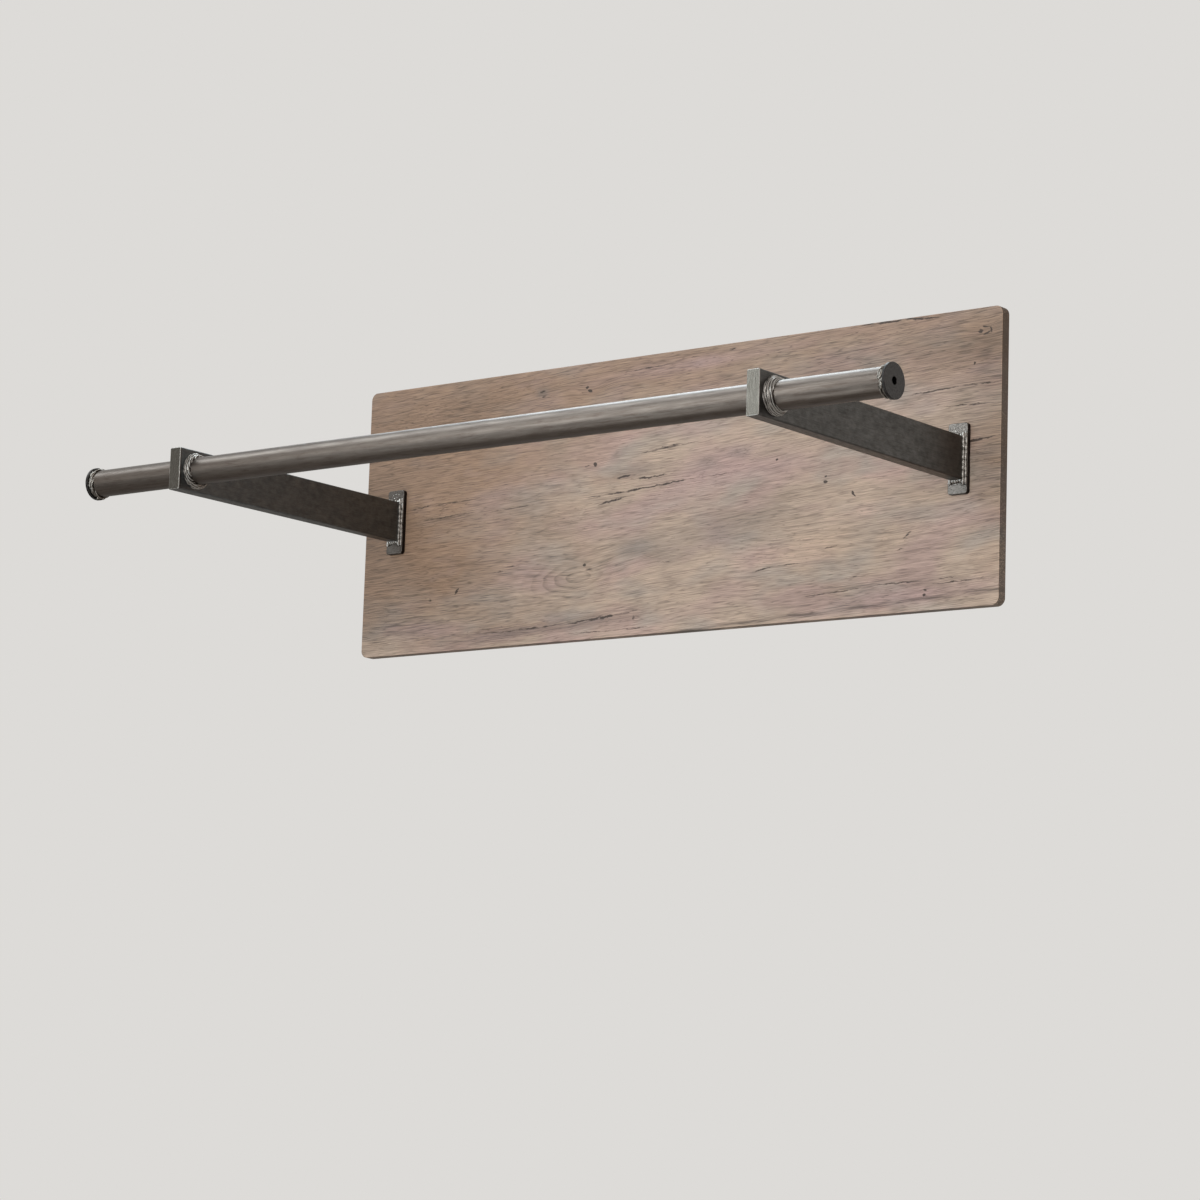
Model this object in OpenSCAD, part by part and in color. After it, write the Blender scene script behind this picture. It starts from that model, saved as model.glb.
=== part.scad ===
// Wall coat rack. A wooden board lies flat on the wall and carries two arms of flat rectangular
// steel tube. One round steel rail passes through both arms and ends in a disc at each side.
// Lengths are in millimetres. X runs along the rail, Y points into the wall and Z points up.
// The origin is the middle of the board's back face, where it meets the wall.

/* [Board] */
// Width of the board
board_w = 818; // [640:1:960]
// Height of the board
board_h = 296; // [240:1:400]
// Thickness of the board
board_t = 12; // [11:0.5:25]
// Radius of the board's four corners
board_corner_r = 8; // [2:0.5:30]

/* [Arms] */
// How far the front of an arm stands out from the board's front face
arm_reach = 348; // [250:1:420]
// Width of an arm
arm_w = 14.5; // [10:0.5:17]
// Height of an arm
arm_h = 43.5; // [41:0.5:50]
// Wall thickness of an arm's tube
arm_wall = 1.5; // [1:0.25:2.5]
// Radius of an arm's long edges
arm_edge_r = 1.5; // [0.5:0.25:3]
// Thickness of the cap that closes an arm's front
arm_cap_t = 2; // [1:0.5:5]
// Distance from an arm's middle to the board's side edge
arm_inset = 46; // [20:1:90]

/* [Rail] */
// Overall length of the rail with both end discs
rail_length = 1000; // [850:1:1200]
// Outer diameter of the rail
rail_d = 28; // [20:0.5:30]
// Wall thickness of the rail
rail_wall = 2; // [1:0.25:4]
// Distance from the rail's axis back to the front of the arms
rail_setback = 24; // [22:0.5:40]
// Height of the rail's axis above the board's bottom edge
rail_height = 146.5; // [110:0.5:160]
// Play between the rail and its hole in an arm
rail_play = 0.2; // [0.1:0.05:0.5]

/* [End discs] */
// Diameter of an end disc
disc_d = 34; // [32:0.5:44]
// Thickness of an end disc
disc_t = 3; // [2:0.5:8]
// Diameter of the hole in the middle of an end disc
disc_hole_d = 7.5; // [4:0.5:12]

/* [Welds] */
// How far the bead between the rail and an arm stands out from the rail
rail_weld_reach = 4.8; // [2:0.2:5]
// Length of that bead along the rail on an arm's inner side
inner_weld_length = 4.8; // [2:0.2:10]
// Length of that bead along the rail on an arm's outer side
outer_weld_length = 8.4; // [2:0.2:10]
// Length of the bead along the rail behind an end disc
disc_weld_length = 6; // [2:0.2:10]
// Step from an end disc's rim down to its weld bead
disc_weld_step = 0.2; // [0.2:0.1:1]
// Leg of the bead round an arm on its mounting plate
plate_weld_leg = 3.6; // [1:0.2:4]
// Play between a weld bead and the round rail inside it
weld_play = 0.1; // [0.05:0.05:0.3]

/* [Mounting plates] */
// How far a mounting plate stands out beside its arm
plate_side_margin = 4; // [4:0.5:12]
// How far a mounting plate stands out above and below its arm
plate_end_margin = 13.5; // [11.5:0.5:25]
// Thickness of a mounting plate
plate_t = 5; // [3:0.5:8]
// Radius of a mounting plate's corners
plate_corner_r = 3; // [1:0.5:8]

/* [Studs, washers and nuts] */
// Diameter of a stud on the back of a mounting plate
stud_d = 6; // [4:0.5:6.5]
// Distance between the upper and the lower stud of a plate
stud_spacing = 54; // [24:1:58]
// Play between a stud and its hole in the board
stud_play = 0.25; // [0.1:0.05:0.5]
// Diameter of a washer
washer_d = 16; // [12:0.5:20]
// Thickness of a washer
washer_t = 1.2; // [0.8:0.1:2]
// Width of a nut across its flats
nut_flats = 10; // [9:0.5:11]
// Thickness of a nut
nut_t = 5; // [3:0.5:5.5]
// Play between a washer and its counterbore in the board
counterbore_play = 0.75; // [0.25:0.25:2]
// Play between a stud and the bore of its nut
nut_play = 0.1; // [0.05:0.05:0.3]
// Depth of the nuts below the board's back face
nut_depth = 1; // [0.5:0.1:1.5]
// Depth of the stud ends below the board's back face
stud_depth = 0.3; // [0.1:0.1:0.5]

/* [Keyhole hangers] */
// Distance between the middles of the two hangers
hanger_spacing = 600; // [300:1:620]
// Distance from the board's top edge down to the middle of a hanger
hanger_drop = 50; // [34:1:110]
// Width of a hanger plate
hanger_w = 17; // [15:0.5:24]
// Height of a hanger plate
hanger_h = 48; // [46:0.5:60]
// Thickness of a hanger plate
hanger_t = 2; // [1:0.25:2.5]
// Diameter of the round entry of a keyhole
keyhole_entry_d = 10; // [8:0.5:11]
// Width of a keyhole's slot
keyhole_slot_w = 5; // [3.5:0.5:6]
// Distance from the keyhole's entry up to the end of its slot
keyhole_rise = 10; // [8:0.5:14]
// Depth of the pocket for a wall screw's head behind a hanger
pocket_depth = 5; // [4:0.5:6]
// Play round a hanger plate in its recess
hanger_play = 0.3; // [0.1:0.1:1]
// Depth of a hanger plate's face below the board's back face
hanger_depth = 0.3; // [0.1:0.1:0.5]

/* [Hanger screws] */
// Diameter of a hanger screw's shank
screw_d = 3; // [2:0.25:3.5]
// Length of a hanger screw
screw_length = 9; // [5:0.5:9]
// Diameter of a hanger screw's countersunk head
screw_head_d = 5.8; // [5:0.2:7]
// Thickness of the straight rim of a hanger screw's head
screw_rim_t = 0.3; // [0.1:0.1:0.5]
// Distance from a hanger screw to the end of its hanger plate
screw_inset = 5.5; // [4.5:0.5:7]
// Play between a hanger screw and what it passes through
screw_play = 0.1; // [0.05:0.05:0.3]

/* [Hidden] */

$fn = 64;
left = -1;
right = 1;
sides = [left, right];
through = 1; // how far a cutting shape runs past the face that it cuts
bead_step = 16; // the angle between two points on a bead's rounded side
bead_end = 80; // the angle at which a bead's rounded side gives way to its flat top

board_front_y = -board_t;
plate_w = arm_w + 2 * plate_side_margin;
plate_h = arm_h + 2 * plate_end_margin;
plate_front_y = board_front_y - plate_t;
arm_front_y = board_front_y - arm_reach;
rail_y = arm_front_y + rail_setback;
rail_z = rail_height - board_h / 2;
arm_x = board_w / 2 - arm_inset;
arm_length = arm_reach - plate_t - arm_cap_t;
rail_r = rail_d / 2;
tube_length = rail_length - 2 * disc_t;
counterbore_depth = nut_depth + nut_t + washer_t;
stud_length = board_t - stud_depth;
hanger_z = board_h / 2 - hanger_drop;
keyhole_entry_z = -keyhole_rise / 2;
keyhole_end_z = keyhole_rise / 2;
screw_z = hanger_h / 2 - screw_inset;
screw_cone_t = (screw_head_d - screw_d) / 2;

wood = "#94816f";
steel = "#5b5752";
bead = "#8f8e8a";
zinc = "#b9bcc0";

// A rectangle with round corners, centred
module round_rectangle(w, h, r) {
    square([w - 2 * r, h], center = true);
    square([w, h - 2 * r], center = true);
    for (x = [-1, 1], y = [-1, 1]) {
        translate([x * (w / 2 - r), y * (h / 2 - r)]) circle(r);
    }
}

// Stands a flat shape up in the XZ plane at y and extrudes it by depth towards the front
module stand(y, depth) {
    translate([0, y, 0]) rotate([90, 0, 0]) linear_extrude(height = depth) children();
}

// A round bar along Y that starts at y and runs by depth towards the front
module bar_to_front(y, depth, d) {
    stand(y, depth) circle(d = d);
}

// Turns a shape drawn along Z so that it points away from the middle on the given side
module outwards(side) {
    rotate([0, side * 90, 0]) children();
}

// The board: a flat panel, drilled for the studs and recessed at the back for the nuts and hangers
module board() {
    color(wood) difference() {
        stand(0, board_t) round_rectangle(board_w, board_h, board_corner_r);
        at_studs() {
            bar_to_front(through, board_t + 2 * through, stud_d + 2 * stud_play);
            bar_to_front(through, counterbore_depth + through, washer_d + 2 * counterbore_play);
        }
        for (side = sides) translate([side * hanger_spacing / 2, 0, hanger_z]) hanger_recess();
    }
}

// Puts its children at each of the four studs
module at_studs() {
    for (side = sides, end = [-1, 1]) {
        translate([side * arm_x, 0, rail_z + end * stud_spacing / 2]) children();
    }
}

// The recess for a hanger plate, with the pocket for the wall screw's head and the pilot holes
module hanger_recess() {
    recess_depth = hanger_depth + hanger_t;
    recess_r = (hanger_w + 2 * hanger_play) / 2;
    stand(through, recess_depth + through)
        round_rectangle(2 * recess_r, hanger_h + 2 * hanger_play, recess_r - hanger_play);
    stand(through, recess_depth + pocket_depth + through) keyhole(keyhole_entry_d);
    at_hanger_screws() hanger_screw(screw_play);
}

// Puts its children at the two screws of a hanger
module at_hanger_screws() {
    for (end = [-1, 1]) translate([0, -hanger_depth, end * screw_z]) children();
}

// A keyhole: a round entry below and a slot above it that ends in a half circle
module keyhole(slot_w) {
    translate([0, keyhole_entry_z]) circle(d = keyhole_entry_d);
    translate([0, keyhole_end_z]) circle(d = slot_w);
    square([slot_w, keyhole_rise], center = true);
}

// A keyhole hanger: a flat steel plate, screwed flush into the board's back
module keyhole_hanger(side) {
    color(zinc) translate([side * hanger_spacing / 2, 0, hanger_z]) difference() {
        stand(-hanger_depth, hanger_t) round_rectangle(hanger_w, hanger_h, hanger_w / 2 - hanger_play);
        stand(through, hanger_depth + hanger_t + 2 * through) keyhole(keyhole_slot_w);
        at_hanger_screws() hanger_screw(screw_play);
    }
}

// A countersunk screw that points to the front, with its flat head at y = 0, grown all round by play
module hanger_screw(play) {
    rotate([90, 0, 0]) rotate_extrude() polygon([
        [0, -play],
        [screw_head_d / 2 + play, -play],
        [screw_head_d / 2 + play, screw_rim_t],
        [screw_d / 2 + play, screw_rim_t + screw_cone_t],
        [screw_d / 2 + play, screw_length - screw_d / 2],
        [0, screw_length + play],
    ]);
}

// The hanger screws: two countersunk wood screws in each hanger
module hanger_screws() {
    color(zinc) for (side = sides) {
        translate([side * hanger_spacing / 2, 0, hanger_z]) at_hanger_screws() hanger_screw(0);
    }
}

// A mounting plate: flat steel with round corners, seated on the board's front
module mounting_plate(side) {
    color(steel) translate([side * arm_x, 0, rail_z]) stand(board_front_y, plate_t)
        round_rectangle(plate_w, plate_h, plate_corner_r);
}

// The studs: welded to the backs of the mounting plates, they pass through the board
module plate_studs() {
    color(zinc) at_studs() bar_to_front(-stud_depth, stud_length, stud_d);
}

// The washers: one round each stud, at the bottom of its counterbore
module stud_washers() {
    color(zinc) at_studs() stand(washer_t - counterbore_depth, washer_t) difference() {
        circle(d = washer_d);
        circle(d = stud_d + 2 * stud_play);
    }
}

// The nuts: one on each stud, tight on its washer
module stud_nuts() {
    color(zinc) at_studs() stand(-nut_depth, nut_t) difference() {
        circle(d = nut_flats / cos(30), $fn = 6);
        circle(d = stud_d + 2 * nut_play);
    }
}

// An arm: flat rectangular tube, cross drilled for the rail
module arm(side) {
    color(steel) translate([side * arm_x, 0, rail_z]) difference() {
        stand(plate_front_y, arm_length) difference() {
            round_rectangle(arm_w, arm_h, arm_edge_r);
            square([arm_w - 2 * arm_wall, arm_h - 2 * arm_wall], center = true);
        }
        translate([0, rail_y, 0]) outwards(right)
            cylinder(h = arm_w + 2 * through, r = rail_r + rail_play, center = true);
    }
}

// An arm's cap: closes the front of the tube and is ground flush with it
module arm_cap(side) {
    color(steel) translate([side * arm_x, 0, rail_z]) stand(arm_front_y + arm_cap_t, arm_cap_t)
        round_rectangle(arm_w, arm_h, arm_edge_r);
}

// The rail: one round tube from disc to disc
module rail_tube() {
    color(steel) translate([0, rail_y, rail_z]) outwards(right) difference() {
        cylinder(h = tube_length, r = rail_r, center = true);
        cylinder(h = tube_length + 2 * through, r = rail_r - rail_wall, center = true);
    }
}

// An end disc: closes an end of the rail and keeps hangers on it, with a vent hole in its middle
module end_disc(side) {
    color(steel) translate([side * tube_length / 2, rail_y, rail_z]) outwards(side) difference() {
        cylinder(h = disc_t, d = disc_d);
        translate([0, 0, -through]) cylinder(h = disc_t + 2 * through, d = disc_hole_d);
    }
}

// The rounded outer side of a bead's section, from its foot, reach wide, up to its narrow flat top
function bead_side(reach, length) = [
    for (turn = [0 : bead_step : bead_end]) [reach * cos(turn), length * sin(turn) / sin(bead_end)]
];

// A bead round the rail, with a quarter oval section that stands on the plane z = 0
module ring_bead(reach, length) {
    rotate_extrude() translate([rail_r + weld_play, 0])
        polygon(concat([[0, 0]], bead_side(reach, length), [[0, length]]));
}

// The weld between the rail and one face of an arm; facing is the side that this face looks to
module arm_weld(side, facing) {
    color(bead) translate([side * arm_x + facing * arm_w / 2, rail_y, rail_z])
        outwards(facing)
            ring_bead(rail_weld_reach, facing == side ? outer_weld_length : inner_weld_length);
}

// The weld between the rail and an end disc
module end_weld(side) {
    color(bead) translate([side * tube_length / 2, rail_y, rail_z]) outwards(-side)
        ring_bead((disc_d - rail_d) / 2 - weld_play - disc_weld_step, disc_weld_length);
}

// The filled section across an arm and the beads on both sides of it, on the line y = 0
module beaded_section(width) {
    side = bead_side(plate_weld_leg, plate_weld_leg);
    last = len(side) - 1;
    polygon([
        for (point = side) [width / 2 + point.x, point.y],
        for (place = [last : -1 : 0]) [-width / 2 - side[place].x, side[place].y],
    ]);
}

// The weld round an arm on its mounting plate: a rounded bead on all four sides, mitred at the corners
module plate_weld(side) {
    run = arm_h + 2 * plate_weld_leg + 2 * through;
    color(bead) translate([side * arm_x, 0, rail_z]) difference() {
        translate([0, plate_front_y, 0]) rotate([90, 0, 0]) intersection() {
            rotate([90, 0, 0]) linear_extrude(height = run, center = true) beaded_section(arm_w);
            rotate([90, 0, 90]) linear_extrude(height = run, center = true) beaded_section(arm_h);
        }
        stand(plate_front_y + through, plate_weld_leg + 2 * through) square([arm_w, arm_h], center = true);
    }
}

board();
mounting_plate(left);  // left_mounting_plate
mounting_plate(right);  // right_mounting_plate
arm(left);  // left_arm
arm(right);  // right_arm
arm_cap(left);  // left_arm_cap
arm_cap(right);  // right_arm_cap
rail_tube();
end_disc(left);  // left_end_disc
end_disc(right);  // right_end_disc
plate_weld(left);  // left_plate_weld
plate_weld(right);  // right_plate_weld
arm_weld(left, left);  // left_arm_outer_weld
arm_weld(left, right);  // left_arm_inner_weld
arm_weld(right, left);  // right_arm_inner_weld
arm_weld(right, right);  // right_arm_outer_weld
end_weld(left);  // left_end_weld
end_weld(right);  // right_end_weld
plate_studs();
stud_washers();
stud_nuts();
keyhole_hanger(left);  // left_keyhole_hanger
keyhole_hanger(right);  // right_keyhole_hanger
hanger_screws();
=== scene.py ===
from math import atan, ceil, exp, pi, radians, sqrt
from random import seed, uniform

import bpy
from mathutils import Matrix, Vector


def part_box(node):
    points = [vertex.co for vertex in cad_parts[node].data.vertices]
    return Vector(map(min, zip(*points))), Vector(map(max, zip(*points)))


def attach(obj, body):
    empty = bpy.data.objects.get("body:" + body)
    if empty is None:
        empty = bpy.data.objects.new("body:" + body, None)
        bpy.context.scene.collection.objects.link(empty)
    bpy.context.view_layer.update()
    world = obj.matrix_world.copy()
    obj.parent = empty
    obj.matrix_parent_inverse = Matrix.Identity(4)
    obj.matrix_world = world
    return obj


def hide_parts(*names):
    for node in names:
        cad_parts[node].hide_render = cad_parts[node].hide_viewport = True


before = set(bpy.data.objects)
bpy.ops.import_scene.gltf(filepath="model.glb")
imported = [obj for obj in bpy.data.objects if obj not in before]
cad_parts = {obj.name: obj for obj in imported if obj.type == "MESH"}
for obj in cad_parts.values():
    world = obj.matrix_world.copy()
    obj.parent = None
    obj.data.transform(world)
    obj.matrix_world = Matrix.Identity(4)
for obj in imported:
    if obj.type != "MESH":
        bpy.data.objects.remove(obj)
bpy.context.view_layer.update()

# Board
# One flat panel of weathered hardwood, planed and left matt, with round corners and sanded edges.
# Its back is drilled and counterbored for the studs of the arms and recessed for two keyhole hangers.

board_corner_radius = 0.008
board_edge_radius = 0.0007
# The grain rises to the right by this much
board_grain_rise = 0.04
# The nuts sit in these round counterbores, on washers
counterbore_radius = 0.00875
stud_radius = 0.003
stud_hole_radius = 0.00325
# The hangers lie in these recesses, each over a deeper pocket for the head of a wall screw
recess_play = 0.0003
pocket_radius = 0.005
pocket_depth = 0.0073
# A keyhole's round entry and the end of its slot lie this far below and above the hanger's middle
keyhole_reach = 0.005
# The ends of the hangers are a little flatter than half circles
hanger_end_flat = 0.0003

# What shows on the board's face, by its place in millimetres from the board's middle.
# Zones, each a soft oval: x, z, half length along the grain, half height, and how much there is
board_zones = {
    # Swellings round knots, which lift the growth rings by so many millimetres
    "ring_lift": (
        (-105, -76, 60, 22, 9), (-96, 118, 22, 8, 4), (389, 127, 24, 10, 4), (-94, 40, 20, 6, 3),
        (60, 30, 150, 24, 6), (-330, -40, 120, 30, -5), (250, -70, 160, 30, 6), (330, 70, 120, 26, -5),
    ),
    # Where the growth rings show
    "rings": (
        (-118, -80, 70, 26, 1), (-96, 118, 34, 12, 0.7), (380, 122, 60, 20, 0.3), (-94, 40, 30, 10, 0.5),
        (250, -70, 140, 40, 0.5), (-300, -105, 90, 20, 0.5),
    ),
    # Where the rings close round the eye of a knot
    "eye": (
        (-128, -86, 44, 20, 1.6),
    ),
    # Painted shade: the face darker towards the left end and the top, and in patches, where less light falls
    "painted_shade": (
        (-60, 128, 420, 62, 1), (320, 110, 150, 44, 0.6), (-420, -20, 90, 200, 1.1),
        (-280, -20, 140, 200, 0.4), (-300, -105, 230, 60, 0.8), (409, -60, 80, 140, 0.7),
        (409, 90, 60, 90, 0.5), (300, -130, 180, 24, 0.5), (255, 110, 90, 40, 0.6),
        (255, -125, 80, 30, 0.6), (255, -10, 60, 30, -0.4), (390, 90, 60, 60, 0.7),
        (390, -10, 60, 50, 0.5), (155, -20, 70, 45, 0.55), (100, -122, 120, 30, 0.45),
        (-160, 105, 60, 40, -0.4), (-160, -20, 60, 40, 0.5), (-170, -122, 90, 30, 0.4),
        # Painted shade in a thin strip along the lower edge, where the underside lies in shadow
        (0, -149, 900, 1.2, 3.2),
    ),
    # Browner wood
    "brown": (
        (-420, 60, 200, 130, 0.9), (-400, -70, 150, 60, 0.5), (410, 130, 130, 50, 0.4),
        (409, 0, 40, 100, 0.7), (0, 132, 420, 44, 0.65), (-200, 60, 160, 60, 0.35),
        (-300, -50, 200, 70, 0.4), (-150, -132, 130, 8, 0.6), (-60, 20, 40, 6, 0.4),
    ),
    # Grey-brown bruises
    "bruise": (
        (85, -45, 90, 30, 0.45), (-30, 25, 40, 8, 0.8), (96, 32, 18, 7, 0.6), (56, 25, 16, 11, 0.5),
        (-165, 122, 10, 7, 1), (-30, -55, 34, 14, 0.5), (10, -72, 24, 9, 0.5), (-360, -70, 50, 9, 0.4),
        (60, -45, 100, 18, 0.35), (-270, -3, 100, 6, 0.4), (396, 4, 20, 8, 0.6),
        (-150, -133, 120, 6, 0.7), (90, -130, 140, 8, 0.3),
    ),
    # Pinker wood
    "pink": (
        (70, 18, 110, 20, 0.8), (20, 62, 90, 12, 0.6), (310, -132, 120, 10, 0.7),
        (-150, -134, 120, 8, 0.5), (60, 132, 150, 8, 0.5), (330, 60, 70, 14, 0.6),
        (-60, -20, 90, 14, 0.4), (240, -45, 60, 14, 0.4), (60, -60, 60, 12, 0.4), (340, -20, 40, 10, 0.4),
    ),
    # Paler, yellower wood
    "straw": (
        (-110, -74, 90, 24, 0.35), (-300, -108, 90, 12, 0.8), (210, -72, 90, 26, 0.6),
        (330, 90, 80, 20, 0.5), (-270, 62, 60, 8, 0.6), (-90, 108, 80, 9, 0.7), (300, -40, 60, 16, 0.4),
        (-60, -112, 120, 9, 0.5),
    ),
    # Open pores
    "pores": (
        (-340, 110, 90, 34, 1), (-200, 128, 70, 16, 0.8), (-260, 10, 100, 24, 0.8),
        (-120, -20, 80, 16, 0.9), (-150, -130, 180, 9, 1), (-330, -60, 60, 40, 0.5), (0, 10, 80, 14, 0.9),
        (60, 30, 14, 8, 1.3), (98, 33, 20, 6, 1.5), (50, 13, 10, 5, 0.8), (-26, 21, 30, 6, 0.9),
        (296, 146, 46, 4, 1.3), (180, 30, 60, 18, 0.7), (270, 20, 60, 20, 0.5), (130, -60, 130, 30, 0.7),
        (300, -76, 30, 14, 0.8), (390, -20, 30, 34, 0.9), (120, 130, 160, 9, 0.8),
        (310, -128, 110, 12, 0.7),
    ),
}
# Seams, cracks and pips: x, z, half length, half height, how much they rise along the grain, how dark
board_marks = (
    (-298, -1, 66, 1.4, 0.04, 0.7), (-195, 1, 60, 1.2, 0.04, 0.5), (-284, 14.5, 50, 1.4, 0.05, 0.6),
    (-22, 134, 60, 1.2, 0.03, 0.6), (332, 70.4, 40, 1, 0.056, 1.2), (385, 72.1, 27, 1, -0.016, 1.2),
    (372, 52.3, 42, 0.9, -0.039, 1), (379, 15.9, 12, 1.5, 0.063, 4.5), (394, 17.2, 10, 1, 0.073, 1.2),
    (292, -118.3, 37, 1, 0.016, 1.2), (219, -121.5, 50, 0.9, 0.059, 0.8),
    (366, -121.8, 48, 0.9, 0.011, 1), (348, -117.6, 26, 0.8, 0.03, 0.7), (-92, -128, 35, 1.5, 0.069, 1.6),
    (-70, -126.3, 11, 1.6, 0.084, 4), (-179, -131.6, 71, 1, 0.036, 1), (-42, -123.6, 23, 0.9, 0.117, 0.8),
    (-90, -141.1, 46, 0.9, -0.009, 0.8), (212, -75.7, 10, 1.2, 0.158, 1.2),
    (129, -91.9, 18, 1, 0.154, 0.9), (159, -89.4, 20, 0.9, 0.049, 0.8), (242, -108.1, 7, 1, 0.049, 0.9),
    (303, -71.2, 8, 1.2, 0.607, 0.9), (294, -85, 7, 1, 0.174, 0.8), (7, -74.7, 7, 1, -0.04, 1),
    (277, 146.5, 18, 1.3, -0.04, 2.6), (315, 145.6, 26, 1.4, -0.066, 2.6),
    (252, 147.2, 15, 1.2, 0.054, 1), (37, 138.9, 8, 1, -0.003, 0.8), (85, 141.5, 6, 1.2, 0.091, 0.8),
    (-329, 12.8, 31, 1.2, 0.099, 0.8), (-323, 13.4, 11, 1, 0.089, 0.8), (-101, 36.8, 4, 1.2, 0.049, 1.4),
    (1, 45.9, 59, 1, 0.077, 0.9), (4, 47.1, 34, 1.2, 0.073, 0.8), (-52, 21, 10, 1.3, 0.092, 3.2),
    (-24, 17, 12, 1.4, -0.016, 3.2), (-5, 17.8, 12, 1.2, 0.083, 1.4), (-64, 4, 45, 0.9, 0.031, 1.2),
    (-12, 7.2, 66, 0.9, 0.062, 2.2), (-66, -3.5, 22, 1.2, 0.146, 3), (76, 11.5, 33, 0.8, 0.051, 0.7),
    (-275, -84, 5, 1.2, 1.6, 2.6), (-167, -131.8, 52, 0.8, 0.039, 0.6), (-198, -62.8, 12, 1, -0.027, 1),
    (-215, -67.4, 13, 1, 0.019, 0.8), (159, 55, 15, 0.9, 0.136, 0.7), (144.4, 20.1, 2.2, 1.8, 0, 2.6),
    (203.4, -8.5, 3.2, 1.6, 0, 3), (204.4, -3.2, 2, 1.2, 0, 1.6), (238.1, -23.8, 4, 1.3, -1.3, 2.6),
    (-90.2, 37.7, 3, 2.8, 0.2, 3.5), (-104.4, 122.4, 2.2, 1.8, 0, 3), (-100.2, 117.7, 3.2, 2.2, 0, 3),
    (-165, 124, 4.5, 2.2, 0.2, 1), (-163, 118, 4, 1.8, 0, 0.9), (-99.8, -69, 2.6, 1.6, 0, 3),
    (-94.2, -74.8, 7, 3, 0, 0.7), (-312, -91, 3, 2.6, 0, 0.8), (378, 93.1, 1.8, 1.6, 0, 2.4),
    (324.8, -127.7, 2.2, 1.5, 0, 2.6), (324.3, -132.6, 2, 1.8, 0, 2.6), (-34, -130, 2, 4, 0.3, 0.8),
    (384, 124.6, 3.2, 2.4, 0, 3), (391, 128.2, 5, 1.2, -0.25, 2.6), (391, 121.6, 5, 1.2, 0.35, 2.6),
    (396, 125, 1.2, 3.6, 0, 2.6), (-32, -141, 40, 1.2, 0, 0.6),
)


def deselect():
    """Clears the selection."""
    bpy.ops.object.select_all(action="DESELECT")


def select_only(piece):
    """Selects one piece and makes it the active one."""
    deselect()
    piece.select_set(True)
    bpy.context.view_layer.objects.active = piece


def add_box(low, high):
    """Adds a box between two corners, with its place in its mesh."""
    middle = (Vector(low) + Vector(high)) / 2
    deselect()
    bpy.ops.mesh.primitive_cube_add(size=1, location=middle, scale=Vector(high) - Vector(low))
    bpy.ops.object.transform_apply()
    return bpy.context.object


def add_bar(start, end, radius, sides=64):
    """Adds a round bar between two points, with its place in its mesh."""
    along = Vector(end) - Vector(start)
    turn = along.to_track_quat("Z", "Y").to_euler()
    middle = (Vector(start) + Vector(end)) / 2
    deselect()
    bpy.ops.mesh.primitive_cylinder_add(
        vertices=sides, radius=radius, depth=along.length, location=middle, rotation=turn
    )
    bpy.ops.object.transform_apply()
    return bpy.context.object


def set_mode(mode):
    """Goes to edit mode or object mode."""
    bpy.ops.object.mode_set(mode=mode)


def bevel_edges(piece, wanted, width, segments):
    """Rounds the edges whose two ends pass the test."""
    select_only(piece)
    set_mode("EDIT")
    bpy.ops.mesh.select_mode(type="EDGE")
    bpy.ops.mesh.select_all(action="DESELECT")
    set_mode("OBJECT")
    points = piece.data.vertices
    for edge in piece.data.edges:
        edge.select = wanted(points[edge.vertices[0]].co, points[edge.vertices[1]].co)
    set_mode("EDIT")
    bpy.ops.mesh.bevel(offset=width, segments=segments, affect="EDGES")
    set_mode("OBJECT")


def add_round_plate(low, high, corner_radius, segments=10):
    """Adds a box whose four edges along Y are rounded."""
    piece = add_box(low, high)
    bevel_edges(piece, lambda a, b: abs(a.y - b.y) > 1e-6, corner_radius, segments)
    return piece


def round_front(piece, width, segments=3):
    """Rounds the rim of a plate's front face."""
    front = min(v.co.y for v in piece.data.vertices)
    bevel_edges(piece, lambda a, b: max(a.y, b.y) < front + 1e-6, width, segments)


def apply_modifier(piece, kind, **settings):
    """Puts a modifier on a piece, sets it and applies it."""
    modifier = piece.modifiers.new(kind.title(), kind)
    for name, value in settings.items():
        setattr(modifier, name, value)
    select_only(piece)
    bpy.ops.object.modifier_apply(modifier=modifier.name)


def cut_away(piece, *cutters):
    """Cuts the cutters' shapes out of a piece and removes the cutters."""
    for cutter in cutters:
        apply_modifier(piece, "BOOLEAN", object=cutter, operation="DIFFERENCE", solver="EXACT")
        bpy.data.objects.remove(cutter)


def linear(hex_colour, alpha=1.0):
    """An sRGB hex colour as linear values."""
    parts = [int(hex_colour[i:i + 2], 16) / 255 for i in (1, 3, 5)]
    return [p / 12.92 if p <= 0.04045 else ((p + 0.055) / 1.055) ** 2.4 for p in parts] + [alpha]


def add_node(tree, kind, links=None, cell_mm=None, stops=(), output=0, **settings):
    """Adds a node with its settings and links, and gives one of its outputs. cell_mm is the real size of
    one cell of its pattern, and stops are the places and colours of a colour ramp."""
    links = dict(links or {})
    if cell_mm:
        scale = [1000 / size for size in cell_mm]
        links["Vector"] = add_node(tree, "Mapping", {"Vector": links["Vector"], "Scale": scale})
        links["Scale"] = 1.0
    node = tree.nodes.new("ShaderNode" + kind)
    for name, value in settings.items():
        setattr(node, name, value)
    for name, value in links.items():
        if isinstance(value, bpy.types.NodeSocket):
            tree.links.new(value, node.inputs[name])
        else:
            node.inputs[name].default_value = value
    for number, (place, colour) in enumerate(stops):
        element = node.color_ramp.elements[number] if number < 2 else node.color_ramp.elements.new(place)
        element.position = place
        element.color = linear(colour)
    return node.outputs[output]


def new_material(name):
    """A new material, its node tree and its surface shader."""
    material = bpy.data.materials.new(name)
    material.use_nodes = True
    return material, material.node_tree, material.node_tree.nodes["Principled BSDF"]


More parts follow.
